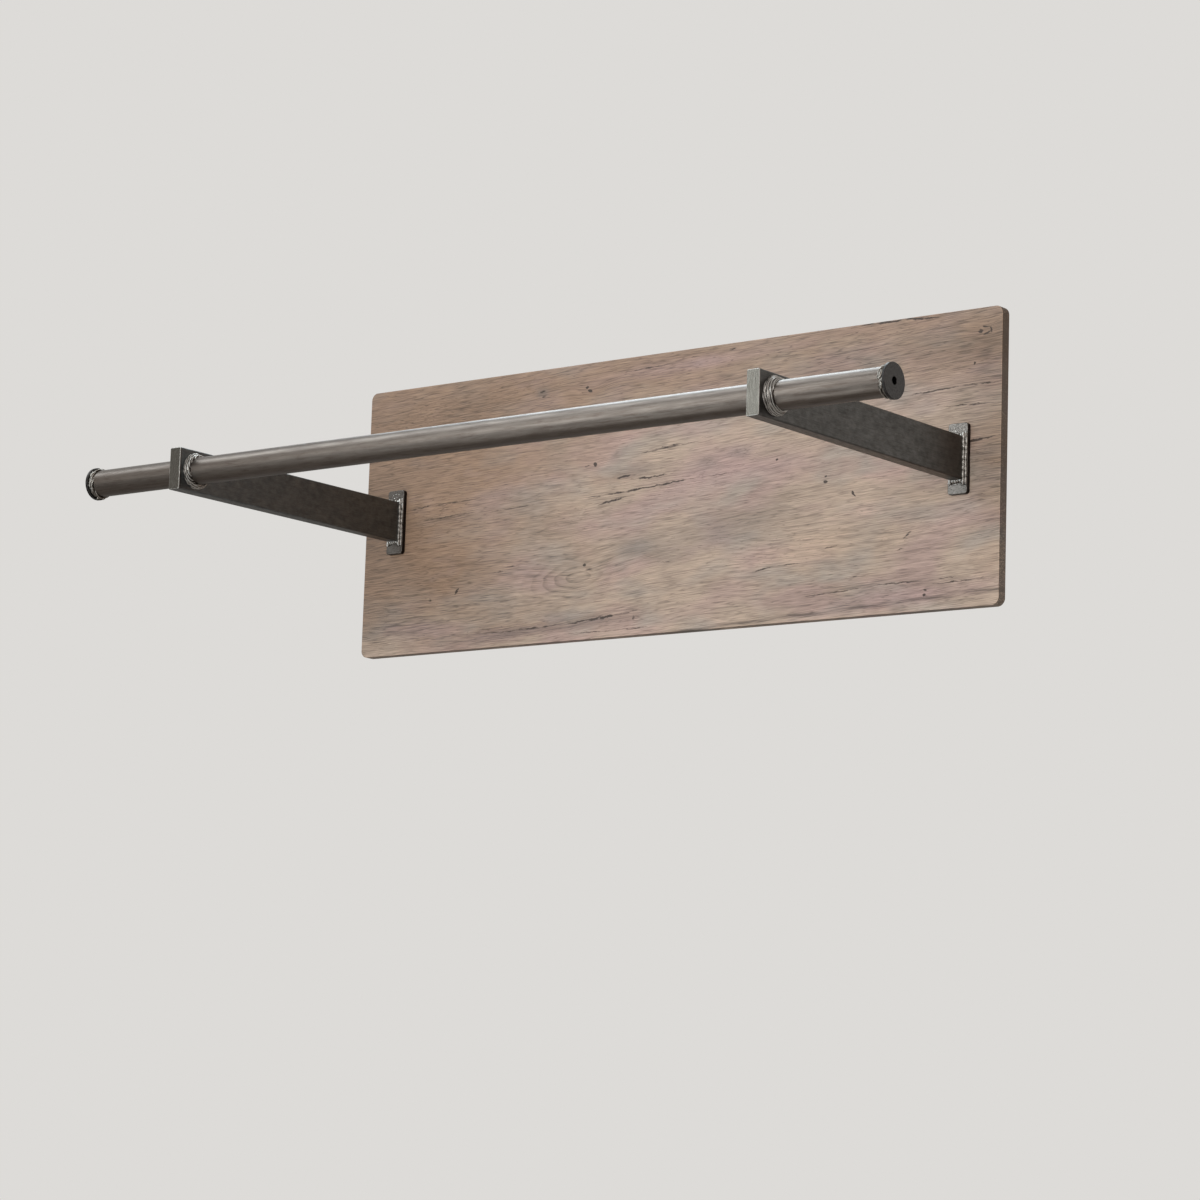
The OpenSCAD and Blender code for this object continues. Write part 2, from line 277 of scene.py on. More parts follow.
def link_looks(tree, surface, colour, roughness, relief):
    """Links a material's colour, roughness and relief to its surface shader."""
    for place, look in (("Base Color", colour), ("Roughness", roughness), ("Normal", relief)):
        tree.links.new(look, surface.inputs[place])


def add_zones(piece, zones, rise):
    """Writes each kind of zone into the mesh as an attribute, on ovals that rise along the grain."""
    for name, ovals in zones.items():
        layer = piece.data.attributes.new(name, "FLOAT", "POINT")
        for point, value in zip(piece.data.vertices, layer.data):
            x, z = point.co.x * 1000, point.co.z * 1000
            for oval_x, oval_z, length, tall, amount in ovals:
                along = (x - oval_x) / length
                up = (z - oval_z - rise * (x - oval_x)) / tall
                value.value += amount * exp(-along * along - up * up)


def weathered_hardwood(name, brightness):
    """Old sun-bleached hardwood: beige with straw, pink and grey zones, fine fibres along X, faint growth
    rings that swell round knots, short open pores, and a few dark seams, cracks and pips."""
    material, tree, surface = new_material(name)
    position = add_node(tree, "TexCoord", output="Object")
    zone = {kind: add_node(tree, "Attribute", output="Fac", attribute_name=kind) for kind in board_zones}

    # Along the grain, and across the growth rings: these rise to the right, wander, and swell round knots
    axes = add_node(tree, "SeparateXYZ", {"Vector": position}).node.outputs
    drift = add_node(tree, "TexNoise", {"Vector": position, "Detail": 0.0}, (400, 300, 110))
    height = axes["Z"]
    for part, amount in ((axes["X"], -board_grain_rise), (drift, 0.014), (zone["ring_lift"], 0.001)):
        height = add_node(tree, "Math", {0: part, 1: amount, 2: height}, operation="MULTIPLY_ADD")
    grain = add_node(tree, "CombineXYZ", {"X": axes["X"], "Y": axes["Y"], "Z": height})

    # Growth rings lie a few millimetres apart. In the eye of the large knot they close into nested ovals.
    ring_spacing = 0.008
    eye_middle = (-0.108, 0, -0.080)
    eye_ring_size = (0.0165, 1, 0.0062)
    ring_wobble = add_node(tree, "TexNoise", {"Vector": grain, "Detail": 1.0}, (160, 40, 16))
    ring_count = add_node(tree, "Math", {0: height, 1: 1 / ring_spacing}, operation="MULTIPLY")
    ring_place = add_node(tree, "Math", {0: ring_wobble, 1: 1.4, 2: ring_count}, operation="MULTIPLY_ADD")
    from_eye = add_node(
        tree, "Mapping",
        {"Vector": position, "Location": eye_middle, "Rotation": (0, -0.05, 0), "Scale": eye_ring_size},
        vector_type="TEXTURE",
    )
    eye_count = add_node(tree, "VectorMath", {0: from_eye}, output="Value", operation="LENGTH")
    eye_place = add_node(tree, "Math", {0: ring_wobble, 1: 2.2, 2: eye_count}, operation="MULTIPLY_ADD")

    # Each ring shades slowly into a darker line
    ring_lines = []
    for place in (ring_place, eye_place):
        part = add_node(tree, "Math", {0: place}, operation="FRACT")
        ring_lines.append(add_node(
            tree, "ValToRGB", {"Fac": part},
            stops=((0.0, "#000000"), (0.88, "#ffffff"), (0.5, "#505050"), (1.0, "#000000")),
        ))
    rings = add_node(
        tree, "Mix", {0: zone["eye"], 6: ring_lines[0], 7: ring_lines[1]}, output=2, data_type="RGBA"
    )
    ring_strength = add_node(tree, "Math", {0: zone["rings"], 1: -0.3, 2: -0.06}, operation="MULTIPLY_ADD")

    # Streaks a few millimetres high, fibres too fine to show, drawn nearly a millimetre high, wide clouds,
    # and hairlines, which are thin dark lines where a pattern of threads crosses its middle value
    streaks, fibres, clouds, threads = [
        add_node(tree, "TexNoise", {"Vector": grain, "Detail": detail, "Roughness": roughness}, cell_mm)
        for detail, roughness, cell_mm in (
            (4.0, 0.6, (90, 8, 5)), (1.0, 0.5, (22, 3, 0.8)),
            (2.0, 0.5, (55, 25, 24)), (1.0, 0.5, (44, 5, 2.2)),
        )
    ]
    crossing = add_node(tree, "Math", {0: threads, 1: 0.5}, operation="PINGPONG")
    hairlines = add_node(
        tree, "MapRange", {"Value": crossing, "From Min": 0.45, "From Max": 0.49, "To Max": 0.32}
    )
    shade = add_node(tree, "Math", {0: rings, 1: ring_strength, 2: brightness}, operation="MULTIPLY_ADD")
    # Zones of painted shade darken the face towards the left end, the top and the lower edge
    for pattern, weight in (
        (streaks, 0.20), (fibres, 1.2), (clouds, 0.55), (hairlines, -0.9), (zone["painted_shade"], -0.22)
    ):
        shade = add_node(tree, "Math", {0: pattern, 1: weight, 2: shade}, operation="MULTIPLY_ADD")
    # No spot is darker or lighter than these
    darkest = 0.35
    lightest = 1.6
    shade = add_node(
        tree, "MapRange",
        {"Value": shade, "From Min": darkest, "From Max": lightest, "To Min": darkest, "To Max": lightest},
    )

    # The tone wanders between beige, pink and grey in patches, and turns straw, brown or bruised in zones
    tone = linear("#b09c8b")
    for cell_mm, colour, low, high in (
        ((90, 40, 40), "#ab9289", 0.44, 0.62), ((70, 40, 30), "#a3978c", 0.48, 0.66)
    ):
        patch = add_node(tree, "TexNoise", {"Vector": grain, "Detail": 1.0}, cell_mm)
        part = add_node(tree, "MapRange", {"Value": patch, "From Min": low, "From Max": high, "To Max": 0.8})
        tone = add_node(tree, "Mix", {0: part, 6: tone, 7: linear(colour)}, output=2, data_type="RGBA")
    wander = add_node(tree, "TexNoise", {"Vector": position, "Detail": 1.0}, (150, 80, 40))
    patchy = add_node(tree, "Math", {0: wander, 1: clouds}, operation="ADD")
    for kind, colour, most in (
        ("straw", "#b69f8b", 1.0), ("brown", "#9a7f69", 1.0),
        ("pink", "#ab918b", 1.0), ("bruise", "#6e6763", 0.6),
    ):
        broken = add_node(tree, "Math", {0: zone[kind], 1: patchy}, operation="ADD")
        part = add_node(
            tree, "MapRange", {"Value": broken, "From Min": 1.15, "From Max": 1.95, "To Max": most}
        )
        tone = add_node(tree, "Mix", {0: part, 6: tone, 7: linear(colour)}, output=2, data_type="RGBA")
    board_colour = add_node(tree, "VectorMath", {0: tone, "Scale": shade}, operation="SCALE")

    # Open pores: short dark dashes along the grain, thick in some zones and rare in others
    dashes = add_node(tree, "TexNoise", {"Vector": grain, "Detail": 2.0, "Roughness": 0.6}, (9, 3, 1.6))
    pore_count = add_node(tree, "Math", {0: zone["pores"], 1: 0.5, 2: clouds}, operation="MULTIPLY_ADD")
    pore_level = add_node(
        tree, "MapRange",
        {"Value": pore_count, "From Min": 0.35, "From Max": 1.2, "To Min": 0.69, "To Max": 0.54},
    )
    pore_depth = add_node(tree, "Math", {0: dashes, 1: pore_level}, operation="SUBTRACT")
    pores = add_node(tree, "MapRange", {"Value": pore_depth, "From Max": 0.16, "To Max": 0.7})

    # Seams, cracks and pips: ovals with ragged outlines, broken up along the grain. A pattern shifts each
    # spot by up to half the ragged size.
    ragged_size = Vector((0.006, 0, 0.004))
    ragged = add_node(
        tree, "TexNoise", {"Vector": position, "Detail": 3.0, "Roughness": 0.6}, (9, 5, 4), output="Color"
    )
    place = add_node(tree, "VectorMath", {0: ragged, 1: ragged_size, 2: position}, operation="MULTIPLY_ADD")
    place = add_node(tree, "VectorMath", {0: place, 1: -ragged_size / 2})
    mark = 0.0
    for x, z, length, tall, rise, dark in board_marks:
        oval = add_node(
            tree, "Mapping",
            {"Vector": place, "Location": (x / 1000, 0, z / 1000), "Rotation": (0, -atan(rise), 0),
             "Scale": (length / 1000, 1, tall / 1000)},
            vector_type="TEXTURE",
        )
        inside = add_node(tree, "TexGradient", {"Vector": oval}, output="Fac", gradient_type="SPHERICAL")
        darker = add_node(tree, "Math", {0: inside, 1: dark}, operation="MULTIPLY")
        mark = add_node(tree, "Math", {0: darker, 1: mark}, operation="MAXIMUM")
    gaps = add_node(tree, "MapRange", {"Value": dashes, "From Min": 0.3, "From Max": 0.7})
    mark = add_node(tree, "Math", {0: mark, 1: gaps}, operation="MULTIPLY")
    mark = add_node(tree, "MapRange", {"Value": mark, "From Min": 0.04, "From Max": 0.4})
    depth = add_node(tree, "Math", {0: pores, 1: mark}, operation="MAXIMUM")
    dark_part = add_node(tree, "Math", {0: depth, 1: 0.93}, operation="MULTIPLY")
    board_colour = add_node(
        tree, "Mix", {0: dark_part, 6: board_colour, 7: linear("#3d322c")}, output=2, data_type="RGBA"
    )

    # Matt, and smoother on the hard streaks. The fibres stand up, and the pores and hairlines lie open.
    rough = add_node(tree, "MapRange", {"Value": streaks, "To Min": 0.72, "To Max": 0.56})
    relief = fibres
    for pattern, amount in ((dashes, -1.5), (hairlines, -2.0)):
        relief = add_node(tree, "Math", {0: pattern, 1: amount, 2: relief}, operation="MULTIPLY_ADD")
    relief = add_node(tree, "Bump", {"Height": relief, "Strength": 0.5, "Distance": 0.0003})
    link_looks(tree, surface, board_colour, rough, relief)
    surface.inputs["Specular IOR Level"].default_value = 0.3
    return material


def paint(piece, *coats):
    """Gives a piece its materials: the first all over, each later one where its test of a face passes."""
    piece.data.materials.clear()
    for number, (material, wanted) in enumerate(coats):
        piece.data.materials.append(material)
        for face in piece.data.polygons:
            if wanted is None or wanted(face):
                face.material_index = number


def finish_piece(piece, name, node, smooth_angle=35):
    """Names a piece, smooths its shading, and fixes it to the rack in place of a CAD node."""
    piece.name = name
    piece.data.name = name
    select_only(piece)
    bpy.ops.object.shade_smooth_by_angle(angle=radians(smooth_angle))
    apply_modifier(piece, "WEIGHTED_NORMAL", keep_sharp=True, weight=80)
    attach(piece, "root")
    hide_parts(node)


board_low, board_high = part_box("board")
board = add_round_plate(board_low, board_high, board_corner_radius, 12)
round_front(board, board_edge_radius)
nut_low, nut_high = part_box("stud_nuts")
washer_low, washer_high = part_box("stud_washers")
stud_low, stud_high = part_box("plate_studs")
stud_xs = (stud_low.x + stud_radius, stud_high.x - stud_radius)
stud_zs = (stud_low.z + stud_radius, stud_high.z - stud_radius)
stud_places = [(x, z) for x in stud_xs for z in stud_zs]
# Cutters reach this far beyond what they cut
beyond = 0.001
for x, z in stud_places:
    cut_away(
        board,
        add_bar((x, beyond, z), (x, board_low.y - beyond, z), stud_hole_radius, 32),
        add_bar((x, beyond, z), (x, washer_low.y, z), counterbore_radius, 48),
    )
for node in ("left_keyhole_hanger", "right_keyhole_hanger"):
    low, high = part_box(node)
    middle = (low + high) / 2
    play = Vector((recess_play, 0, recess_play))
    recess_high = Vector((high.x, beyond, high.z)) + play
    cut_away(
        board,
        add_round_plate(low - play, recess_high, (high.x - low.x) / 2 - hanger_end_flat, 16),
        add_box(
            (middle.x - pocket_radius, -pocket_depth, middle.z - keyhole_reach),
            (middle.x + pocket_radius, beyond, middle.z + keyhole_reach),
        ),
        *[
            add_bar((middle.x, beyond, z), (middle.x, -pocket_depth, z), pocket_radius)
            for z in (middle.z - keyhole_reach, middle.z + keyhole_reach)
        ],
    )
# A net of points every 8 mm along the board and 3 mm up it, to carry the zones
select_only(board)
set_mode("EDIT")
for axis, step in ((0, 0.008), (2, 0.003)):
    across_axis = Vector((axis == 0, 0, axis == 2))
    for number in range(1, ceil((board_high[axis] - board_low[axis]) / step)):
        bpy.ops.mesh.select_all(action="SELECT")
        bpy.ops.mesh.bisect(
            plane_co=across_axis * (board_low[axis] + number * step), plane_no=across_axis
        )
set_mode("OBJECT")
add_zones(board, board_zones, board_grain_rise)
# One wood in three shades: pale on the weathered face, paler on the rounded rim as a painted highlight, and
# dark on the edge faces as painted shade
board_face_wood = weathered_hardwood("weathered_hardwood_face", 0.24)
board_rim_highlight_wood = weathered_hardwood("hardwood_rim_painted_highlight", 0.41)
board_edge_shaded_wood = weathered_hardwood("hardwood_edge_painted_shade", -0.27)
paint(
    board,
    (board_face_wood, None),
    # The rounded rim, lighter: a painted highlight
    (board_rim_highlight_wood, lambda face: 0.3 < -face.normal.y < 0.97),
    # The edge faces, darker: painted shade
    (board_edge_shaded_wood, lambda face: abs(face.normal.y) < 0.3),
)
finish_piece(board, "board_panel", "board")

# Mounting plates
# Two flat pieces of rolled steel bar with round corners. Each is welded to the end of its arm and
# drawn against the board's face by two studs on its back.

plate_corner_radius = 0.003
plate_edge_radius = 0.0006


def worked_steel(name, dark, light, streak_mm, patch_mm, roughness, stain="#3a2f28", stain_part=0.35,
                 relief_mm=0.04, uneven=0.08):
    """Raw steel under a thin dark lacquer: fine tool marks, cloudier patches, brown oxide in places and
    a broken satin sheen. The tool marks are drawn coarser than they are, so that they show."""
    material, tree, surface = new_material(name)
    position = add_node(tree, "TexCoord", output="Object")
    marks = add_node(tree, "TexNoise", {"Vector": position, "Detail": 5.0, "Roughness": 0.65}, streak_mm)
    patches = add_node(tree, "TexNoise", {"Vector": position, "Detail": 4.0, "Roughness": 0.55}, patch_mm)
    both = add_node(tree, "Math", {0: marks, 1: patches}, operation="ADD")
    light_part = add_node(tree, "MapRange", {"Value": both, "From Min": 0.7, "From Max": 1.3})
    colour = add_node(
        tree, "Mix", {0: light_part, 6: linear(dark), 7: linear(light)}, output=2, data_type="RGBA"
    )
    oxide_mm = [size * 0.6 for size in patch_mm]
    oxide = add_node(tree, "TexNoise", {"Vector": position, "Detail": 6.0, "Roughness": 0.7}, oxide_mm)
    oxide_part = add_node(
        tree, "MapRange", {"Value": oxide, "From Min": 0.5, "From Max": 0.72, "To Max": stain_part}
    )
    colour = add_node(tree, "Mix", {0: oxide_part, 6: colour, 7: linear(stain)}, output=2, data_type="RGBA")
    gloss = add_node(
        tree, "MapRange",
        {"Value": both, "From Min": 0.7, "From Max": 1.3,
         "To Min": roughness + uneven, "To Max": roughness - uneven},
    )
    relief = add_node(tree, "Bump", {"Height": marks, "Distance": relief_mm / 1000})
    link_looks(tree, surface, colour, gloss, relief)
    surface.inputs["Metallic"].default_value = 1.0
    return material


def copy_to(piece, shift):
    """A copy of a piece with its own mesh, shifted."""
    copy = piece.copy()
    copy.data = piece.data.copy()
    copy.data.transform(Matrix.Translation(shift))
    bpy.context.scene.collection.objects.link(copy)
    return copy


# Rolled steel, blotched by heat: pale grey where it was brushed, and nearly black in the pits
plate_steel = worked_steel(
    "hot_rolled_plate_steel", "#1c1917", "#6f6862", (0.5, 0.6, 0.5), (1.2, 2.4, 1.2), 0.34
)
# The plates' side faces: dark, even and dull, as painted shade
plate_edge_shade_steel = worked_steel("plate_edge_painted_shade", "#1e1b19", "#312d2a", (0.5, 0.5, 2), (1, 1, 3), 0.45)
plate_low, plate_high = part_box("right_mounting_plate")
right_plate = add_round_plate(plate_low, plate_high, plate_corner_radius, 8)
round_front(right_plate, plate_edge_radius)
# The side faces are painted dark: painted shade
paint(right_plate, (plate_steel, None), (plate_edge_shade_steel, lambda face: abs(face.normal.y) < 0.4))
# From a plate, arm or cap on the right to its copy on the left
across = Vector((plate_low.x + plate_high.x, 0, 0))
left_plate = copy_to(right_plate, -across)
finish_piece(right_plate, "right_plate", "right_mounting_plate")
finish_piece(left_plate, "left_plate", "left_mounting_plate")

# Arms
# Two lengths of flat rectangular steel tube with rounded long edges, cross drilled near the front for
# the rail. Their mill surface is left dark under clear lacquer.

arm_edge_radius = 0.0015
arm_wall = 0.0015
# A mill surface, drawn out along the tube: warm dark grey with a soft sheen
arm_steel = worked_steel("lacquered_mill_steel", "#44423f", "#605d5a", (0.5, 12, 0.5), (3, 10, 6), 0.4)
# The same on the left arm's inner side, a shade greyer and paler: a painted reflection
arm_steel_painted_reflection = worked_steel("mill_steel_painted_reflection", "#4f5152", "#6d7172", (0.5, 12, 0.5), (3, 10, 6), 0.4)
rail_low, rail_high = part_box("rail_tube")
rail_radius = (rail_high.z - rail_low.z) / 2
rail_middle = (rail_low + rail_high) / 2
hole_play = 0.0002


def add_rail_bar(low_x, high_x, radius, sides):
    """Adds a round bar on the rail's middle line."""
    y, z = rail_middle.yz
    return add_bar((low_x, y, z), (high_x, y, z), radius, sides)


arm_low, arm_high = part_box("right_arm")
right_arm = add_round_plate(arm_low, arm_high, arm_edge_radius, 5)
inner_low = Vector((arm_low.x + arm_wall, arm_low.y - beyond, arm_low.z + arm_wall))
inner_high = Vector((arm_high.x - arm_wall, arm_high.y + beyond, arm_high.z - arm_wall))
cut_away(
    right_arm,
    add_box(inner_low, inner_high),
    add_rail_bar(arm_low.x - beyond, arm_high.x + beyond, rail_radius + hole_play, 96),
)
paint(right_arm, (arm_steel, None))
left_arm = copy_to(right_arm, -across)
# The left arm's inner side gets the paler copy, a painted reflection
paint(left_arm, (arm_steel, None), (arm_steel_painted_reflection, lambda face: face.normal.x > 0.5))
finish_piece(right_arm, "right_arm_tube", "right_arm")
finish_piece(left_arm, "left_arm_tube", "left_arm")

# Arm caps
# A small steel plate closes the front of each arm. It is welded on and ground flush, which leaves its
# face brighter than the arm, with upright grinding marks.

cap_edge_radius = 0.0007
# Ground flush: a clear sheen, broken by upright grinding marks
cap_steel = worked_steel("ground_cap_steel", "#423e38", "#524d47", (0.4, 1, 14), (0.8, 2, 16), 0.28)
# The rounded edge round it, ground down to bare steel and painted brighter as a highlight
cap_edge_highlight_steel = worked_steel(
    "ground_edge_painted_highlight", "#68635e", "#96918b", (0.5, 0.6, 2), (1.2, 1.6, 4), 0.36
)
cap_low, cap_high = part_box("right_arm_cap")
right_cap = add_round_plate(cap_low, cap_high, arm_edge_radius, 5)
round_front(right_cap, cap_edge_radius)
paint(
    right_cap,
    (arm_steel, None),
    # The rounded rim: bare steel with a painted highlight
    (cap_edge_highlight_steel, lambda face: face.normal.y < -0.1),
    (cap_steel, lambda face: face.normal.y < -0.98),
)
left_cap = copy_to(right_cap, -across)
finish_piece(right_cap, "right_arm_front", "right_arm_cap")
finish_piece(left_cap, "left_arm_front", "left_arm_cap")

# Rail
# One drawn steel tube through both arms. It is polished along its length and lacquered, and handling
# and heat have left brown clouds on it.

rail_wall = 0.002
# Fine lines along the tube, an even sheen, and brown clouds under the lacquer
rail_steel = worked_steel(
    "polished_drawn_tube", "#4c433d", "#5e554e", (60, 1.5, 1.5), (36, 5, 5), 0.36, "#3c2e26", 0.6, 0.003, 0.03
)
rail = add_rail_bar(rail_low.x, rail_high.x, rail_radius, 128)
cut_away(rail, add_rail_bar(rail_low.x - beyond, rail_high.x + beyond, rail_radius - rail_wall, 64))
paint(rail, (rail_steel, None))
finish_piece(rail, "hanging_rail", "rail_tube")

# End discs
# Two turned steel discs close the rail and keep hangers on it. Each has a vent hole in its middle.

vent_radius = 0.00375
disc_edge_radius = 0.0005
# Turned faces, finely mottled dark grey, and rims painted nearly black as painted shade
disc_steel = worked_steel("turned_disc_steel", "#302e2d", "#565351", (0.6, 0.5, 0.5), (1.8, 1.2, 1.2), 0.4)
disc_rim_shade_steel = worked_steel("disc_rim_painted_shade", "#1f1d1c", "#383533", (0.6, 0.5, 0.5), (1.8, 1.2, 1.2), 0.42)


def bevel_sharp(piece, width, segments):
    """Bevels a piece's sharp edges."""
    apply_modifier(
        piece, "BEVEL", width=width, segments=segments, limit_method="ANGLE", angle_limit=radians(60)
    )


disc_low, disc_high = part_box("right_end_disc")
right_disc = add_rail_bar(disc_low.x, disc_high.x, (disc_high.z - disc_low.z) / 2, 96)
cut_away(right_disc, add_rail_bar(disc_low.x - beyond, disc_high.x + beyond, vent_radius, 48))
bevel_sharp(right_disc, disc_edge_radius, 3)
# The rims are painted dark: painted shade
paint(right_disc, (disc_steel, None), (disc_rim_shade_steel, lambda face: abs(face.normal.x) < 0.5))
left_disc = copy_to(right_disc, Vector((-disc_low.x - disc_high.x, 0, 0)))
finish_piece(right_disc, "right_rail_disc", "right_end_disc")
finish_piece(left_disc, "left_rail_disc", "left_end_disc")

# Weld beads on the rail
# Arc welds, left as they froze: thin ripples that overlap in rings round the rail, three rows of them
# inside the arms and five outside, and coarse lumps behind the discs. Only the arms' beads are brushed.


def bare_weld(name, crease, flank, crest_colour):
    """A bare weld bead: bright along its crests, dull and brown in the creases."""
    material, tree, surface = new_material(name)
    position = add_node(tree, "TexCoord", output="Object")
    pointed = add_node(tree, "NewGeometry", output="Pointiness")
    crest = add_node(tree, "MapRange", {"Value": pointed, "From Min": 0.42, "From Max": 0.56})
    tint = add_node(tree, "TexNoise", {"Vector": position, "Detail": 4.0, "Roughness": 0.6}, (1, 1, 1))
    bright_part = add_node(tree, "Math", {0: tint, 1: 0.5, 2: crest}, operation="MULTIPLY_ADD")
    colour = add_node(
        tree, "ValToRGB", {"Fac": bright_part}, stops=((0.35, crease), (1.0, crest_colour), (0.75, flank))
    )
    gloss = add_node(tree, "MapRange", {"Value": bright_part, "To Min": 0.5, "To Max": 0.32})
    relief = add_node(tree, "Bump", {"Height": tint, "Strength": 0.3, "Distance": 0.0003})
    link_looks(tree, surface, colour, gloss, relief)
    surface.inputs["Metallic"].default_value = 1.0
    return material


def add_drop(place, size, facets=3):
    """Adds a drop of weld metal: a ball, turned and shifted by a matrix, and flattened to a size."""
    deselect()
    bpy.ops.mesh.primitive_ico_sphere_add(
        subdivisions=facets, radius=1, location=place.to_translation(), rotation=place.to_euler(), scale=size
    )
    return bpy.context.object


def add_ring(radius, along, out, segments=96, sides=24):
    """Adds a ring round the rail, which reaches so far along it and out of it from its own middle line."""
    deselect()
    bpy.ops.mesh.primitive_torus_add(
        major_radius=radius, minor_radius=out, major_segments=segments, minor_segments=sides,
        rotation=(0, pi / 2, 0),
    )
    ring = bpy.context.object
    ring.data.transform(Matrix.Diagonal((1, 1, along / out, 1)))
    return ring


def add_lump(turn, away, out, slope, lean, twist, size):
    """Adds a lump of a bead on the rail, at a turn round it. Slope turns its face from outwards to along
    the rail, lean tips it onto the next one, and its size is across, along and out of the bead."""
    place = (
        Matrix.Rotation(-turn, 4, "X")
        @ Matrix.Translation((away, 0, out))
        @ Matrix.Rotation(radians(slope), 4, "Y")
        @ Matrix.Rotation(radians(twist), 4, "Z")
        @ Matrix.Rotation(radians(lean), 4, "X")
    )
    return add_drop(place, size, 1)


def add_crescent(turn, away, out, bend, tilt, wide, thick):
    """Adds a ripple of a bead on the rail: a thin ring of a smaller radius than the bead, so that only a
    crescent of it, at a turn round the rail, stands out of the bead's core."""
    ripple = add_ring(bend, wide, thick, 64, 8)
    ripple.matrix_world = (
        Matrix.Rotation(-turn, 4, "X")
        @ Matrix.Translation((away, 0, out))
        @ Matrix.Rotation(radians(tilt), 4, "Z")
        @ Matrix.Translation((0, 0, -bend))
        @ Matrix.Rotation(pi / 2, 4, "Y")
    )
    return ripple


def add_ripples(rows, sway, shift, jut, bend, tilt, wide, thick):
    """Adds rows of ripples: in each, how many there are, how far from the arm, and how far out of the
    rail. Sway, shift and jut are how much these places vary, and bend and tilt are ranges."""
    return [
        add_crescent(
            (number + uniform(-sway, sway)) / count * round_turn,
            away + uniform(-shift, shift), rail_radius + out + uniform(-0.0001, jut),
            uniform(*bend), uniform(*tilt), wide, thick,
        )
        for count, away, out in rows
        for number in range(count)
    ]


def join(pieces):
    """Joins pieces into the first of them."""
    select_only(pieces[0])
    for piece in pieces:
        piece.select_set(True)
    bpy.ops.object.join()
    return bpy.context.object


def melt(parts, rounds=2):
    """Melts parts that overlap into one closed bead, smoothed in some rounds."""
    bead = join(parts)
    bpy.ops.object.transform_apply()
    apply_modifier(bead, "REMESH", mode="VOXEL", voxel_size=melt_grain)
    apply_modifier(bead, "SMOOTH", factor=0.5, iterations=rounds)
    return bead


def fit_ring(ring):
    """Cuts a bead flat at x = 0 and bores it to go round the rail."""
    cut_away(
        ring,
        add_box((-cutter_depth, -cutter_reach, -cutter_reach), (0, cutter_reach, cutter_reach)),
        add_bar((-cutter_depth, 0, 0), (2 * cutter_depth, 0, 0), rail_radius + weld_clearance, 96),
    )
    return ring


def place_ring(master, name, node, x, facing, turn, metal):
    """Copies a ring of weld round the rail, with its flat side at x and its bead on the facing side."""
    ring = copy_to(master, Vector((0, 0, 0)))
    place = (
        Matrix.Translation((x, rail_middle.y, rail_middle.z))
        @ Matrix.Rotation(turn, 4, "X")
        @ Matrix.Rotation(0 if facing > 0 else pi, 4, "Z")
    )
    ring.data.transform(place)
    paint(ring, (metal, None))
    finish_piece(ring, name, node, 180)


seed(7)
# Bright silver crests over dark creases
weld_metal = bare_weld("wire_brushed_weld", "#262220", "#68635e", "#b3aea8")
# The same, duller and nearly black in the creases
sooty_weld = bare_weld("sooty_weld", "#1d1916", "#453f3a", "#8a837b")
weld_clearance = 0.0001
# The beads melt together in grains of this size
melt_grain = 0.00028
cutter_depth = 0.01
cutter_reach = 0.05
round_turn = 2 * pi

inner_ring = fit_ring(melt([add_ring(rail_radius, 0.0042, 0.0042)] + add_ripples(
    ((17, 0.0004, 0.0043), (19, 0.0021, 0.0038), (16, 0.0036, 0.0024)),
    0.3, 0.0003, 0.0002, (0.006, 0.009), (2, 16), 0.0008, 0.0005,
)))
place_ring(inner_ring, "right_arm_inner_bead", "right_arm_inner_weld", arm_low.x, -1, 2.1, weld_metal)
place_ring(inner_ring, "left_arm_inner_bead", "left_arm_inner_weld", -arm_low.x, 1, 4.0, weld_metal)
bpy.data.objects.remove(inner_ring)

outer_ring = fit_ring(melt([add_ring(rail_radius, 0.0072, 0.0040)] + add_ripples(
    ((9, 0.0004, 0.0043), (10, 0.0021, 0.0041), (9, 0.0038, 0.0036), (9, 0.0055, 0.0028),
     (8, 0.0070, 0.0013)),
    0.35, 0.0005, 0.0003, (0.011, 0.0155), (-7, 7), 0.00075, 0.00055,
)))
place_ring(outer_ring, "right_arm_outer_bead", "right_arm_outer_weld", arm_high.x, 1, 0.4, weld_metal)
place_ring(outer_ring, "left_arm_outer_bead", "left_arm_outer_weld", -arm_high.x, -1, 5.2, weld_metal)
bpy.data.objects.remove(outer_ring)

# Behind each disc, nine lumps and six ripples on a low core
parts = [add_ring(rail_radius - 0.0008, 0.0050, 0.0020)]
for number in range(9):
    parts.append(add_lump(
        (number + uniform(-0.3, 0.3)) / 9 * round_turn,
        0.0026 + uniform(-0.0010, 0.0010), rail_radius + 0.0009, uniform(10, 35),
        uniform(-4, 22), uniform(-35, 35),
        (uniform(0.0018, 0.0030), uniform(0.0040, 0.0062), uniform(0.0012, 0.0018)),
    ))
for number in range(6):
    parts.append(add_crescent(
        (number + uniform(-0.3, 0.3)) / 6 * round_turn,
        uniform(0.0040, 0.0052), rail_radius + 0.0013, uniform(0.009, 0.012), uniform(-16, 16),
        0.0007, 0.0007,
    ))
end_ring = fit_ring(melt(parts, 6))
place_ring(end_ring, "right_end_bead", "right_end_weld", rail_high.x, -1, 0.0, sooty_weld)
place_ring(end_ring, "left_end_bead", "left_end_weld", rail_low.x, 1, 3.0, sooty_weld)
bpy.data.objects.remove(end_ring)

# Weld beads on the mounting plates
# One bead runs round each arm where it stands on its plate: a smooth wavy band along the tall sides, and
# lumps above and below, where the torch turned. Small drops spattered onto the plate above the arm.

arm_middle = (arm_low + arm_high) / 2
half_w = (arm_high.x - arm_low.x) / 2
half_h = (arm_high.z - arm_low.z) / 2
parts = []
